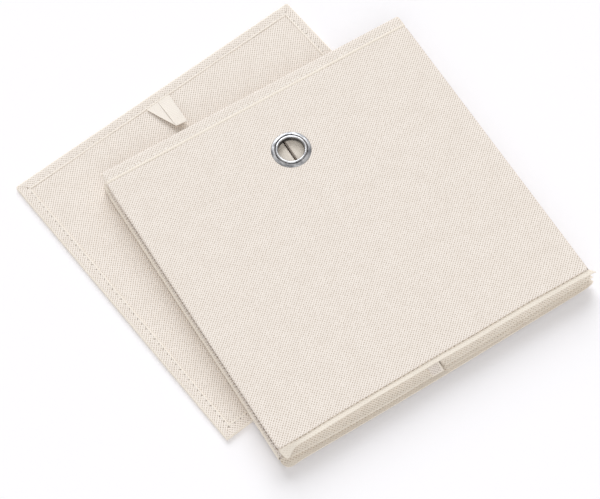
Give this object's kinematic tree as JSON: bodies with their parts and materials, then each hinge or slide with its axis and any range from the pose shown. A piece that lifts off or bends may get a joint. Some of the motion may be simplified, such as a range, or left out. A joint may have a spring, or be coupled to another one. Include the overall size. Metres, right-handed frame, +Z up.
{
  "type": "folding storage box",
  "caption": "Square fabric storage box folded flat: stiff front and back walls, side walls that fold inward, a round metal finger eyelet, and a loose base board with a pull loop.",
  "frame": {"origin": "on the underside of the base board, where it rests, half way across the front wall and 139.5 mm from its hem edge", "axes": "+Z up out of the folded stack, +Y from the bottom seam towards the hem, +X across the front wall to the right"},
  "size_m": [0.3394, 0.3509, 0.0221],
  "materials": {
    "cream_fabric": "embossed non-woven, matte",
    "lining_fabric": "plain non-woven, matte",
    "ribbon": "woven ribbon",
    "cardboard": "raw grey-brown board",
    "nickel": "polished nickel plate"
  },
  "bodies": {
    "back_wall": {"back_cover": "cream_fabric", "back_cardboard": "cardboard", "back_lining": "lining_fabric", "back_hem_band": "cream_fabric", "back_seam_allowance": "cream_fabric", "back_left_corner_wrap": "cream_fabric", "back_right_corner_wrap": "cream_fabric"},
    "front_wall": {"front_cover": "cream_fabric", "front_cardboard": "cardboard", "front_lining": "lining_fabric", "front_hem_band": "cream_fabric", "front_seam_allowance": "cream_fabric", "front_left_corner_wrap": "cream_fabric", "front_right_corner_wrap": "cream_fabric", "eyelet_ring": "nickel", "eyelet_washer": "nickel"},
    "left_side_lower_half": {"left_lower_cover": "cream_fabric", "left_lower_cardboard": "cardboard", "left_lower_lining": "lining_fabric", "left_lower_hem_band": "cream_fabric", "left_lower_seam_allowance": "cream_fabric"},
    "left_side_upper_half": {"left_upper_cover": "cream_fabric", "left_upper_cardboard": "cardboard", "left_upper_lining": "lining_fabric", "left_upper_hem_band": "cream_fabric", "left_upper_seam_allowance": "cream_fabric", "fold_tab": "cream_fabric"},
    "right_side_lower_half": {"right_lower_cover": "cream_fabric", "right_lower_cardboard": "cardboard", "right_lower_lining": "lining_fabric", "right_lower_hem_band": "cream_fabric", "right_lower_seam_allowance": "cream_fabric"},
    "right_side_upper_half": {"right_upper_cover": "cream_fabric", "right_upper_cardboard": "cardboard", "right_upper_lining": "lining_fabric", "right_upper_hem_band": "cream_fabric", "right_upper_seam_allowance": "cream_fabric"},
    "bottom_front_triangle": {"bottom_fabric_front": "cream_fabric"},
    "bottom_back_triangle": {"bottom_fabric_back": "cream_fabric"},
    "bottom_left_lower_triangle": {"bottom_fabric_left_lower": "cream_fabric"},
    "bottom_left_upper_triangle": {"bottom_fabric_left_upper": "cream_fabric"},
    "bottom_right_lower_triangle": {"bottom_fabric_right_lower": "cream_fabric"},
    "bottom_right_upper_triangle": {"bottom_fabric_right_upper": "cream_fabric"},
    "base_board": {"base_board_core": "cardboard", "base_board_top_fabric": "cream_fabric", "base_board_wrapped_fabric": "cream_fabric"},
    "pull_loop": {"pull_loop": "ribbon"}
  },
  "joints": [
    {"name": "unfold", "type": "hinge", "parent": "back_wall", "child": "left_side_lower_half", "pos_m": [-0.1355, 0, 0.0078], "axis": [0, -1, 0], "range_deg": [0, 90]},
    {"name": "left_fold", "type": "hinge", "parent": "left_side_lower_half", "child": "left_side_upper_half", "pos_m": [-0.0004, 0, 0.01225], "axis": [0, 1, 0], "range_deg": [0, 180]},
    {"name": "front_left_corner", "type": "hinge", "parent": "left_side_upper_half", "child": "front_wall", "pos_m": [-0.1355, 0, 0.0167], "axis": [0, -1, 0], "range_deg": [0, 90]},
    {"name": "back_right_corner", "type": "hinge", "parent": "back_wall", "child": "right_side_lower_half", "pos_m": [0.1355, 0, 0.0078], "axis": [0, 1, 0], "range_deg": [0, 90]},
    {"name": "right_fold", "type": "hinge", "parent": "right_side_lower_half", "child": "right_side_upper_half", "pos_m": [0.0004, 0, 0.01225], "axis": [0, -1, 0], "range_deg": [0, 180]},
    {"name": "front_bottom_seam", "type": "hinge", "parent": "front_wall", "child": "bottom_front_triangle", "pos_m": [0, -0.1315, 0.01705], "axis": [-1, 0, 0], "range_deg": [0, 90]},
    {"name": "back_bottom_seam", "type": "hinge", "parent": "back_wall", "child": "bottom_back_triangle", "pos_m": [0, -0.136, 0.00745], "axis": [1, 0, 0], "range_deg": [0, 90]},
    {"name": "left_lower_bottom_seam", "type": "hinge", "parent": "left_side_lower_half", "child": "bottom_left_lower_triangle", "pos_m": [0, -0.134, 0.00815], "axis": [-1, 0, 0], "range_deg": [0, 90], "deforming": ["bottom_fabric_left_lower"]},
    {"name": "left_upper_bottom_seam", "type": "hinge", "parent": "left_side_upper_half", "child": "bottom_left_upper_triangle", "pos_m": [0, -0.134, 0.01635], "axis": [1, 0, 0], "range_deg": [0, 90], "deforming": ["bottom_fabric_left_upper"]},
    {"name": "right_lower_bottom_seam", "type": "hinge", "parent": "right_side_lower_half", "child": "bottom_right_lower_triangle", "pos_m": [0, -0.134, 0.00815], "axis": [-1, 0, 0], "range_deg": [0, 90], "deforming": ["bottom_fabric_right_lower"]},
    {"name": "right_upper_bottom_seam", "type": "hinge", "parent": "right_side_upper_half", "child": "bottom_right_upper_triangle", "pos_m": [0, -0.134, 0.01635], "axis": [1, 0, 0], "range_deg": [0, 90], "deforming": ["bottom_fabric_right_upper"]},
    {"name": "base_board_slide", "type": "slide", "parent": "back_wall", "child": "base_board", "axis": [-0.1253, 0.9921, 0], "range_m": [0, 0.3]},
    {"name": "pull_loop_hinge", "type": "hinge", "parent": "base_board", "child": "pull_loop", "pos_m": [-0.06556, 0.18158, 0.0042], "axis": [-0.9921, -0.1253, 0], "range_deg": [0, 110]}
  ],
  "couplings": [
    {"joint": "left_fold", "follows": "unfold", "ratio": 2},
    {"joint": "front_left_corner", "follows": "unfold", "ratio": 1},
    {"joint": "back_right_corner", "follows": "unfold", "ratio": 1},
    {"joint": "right_fold", "follows": "unfold", "ratio": 2},
    {"joint": "front_bottom_seam", "follows": "unfold", "ratio": 1},
    {"joint": "back_bottom_seam", "follows": "unfold", "ratio": 1},
    {"joint": "left_lower_bottom_seam", "follows": "unfold", "ratio": 1},
    {"joint": "left_upper_bottom_seam", "follows": "unfold", "ratio": 1},
    {"joint": "right_lower_bottom_seam", "follows": "unfold", "ratio": 1},
    {"joint": "right_upper_bottom_seam", "follows": "unfold", "ratio": 1}
  ]
}
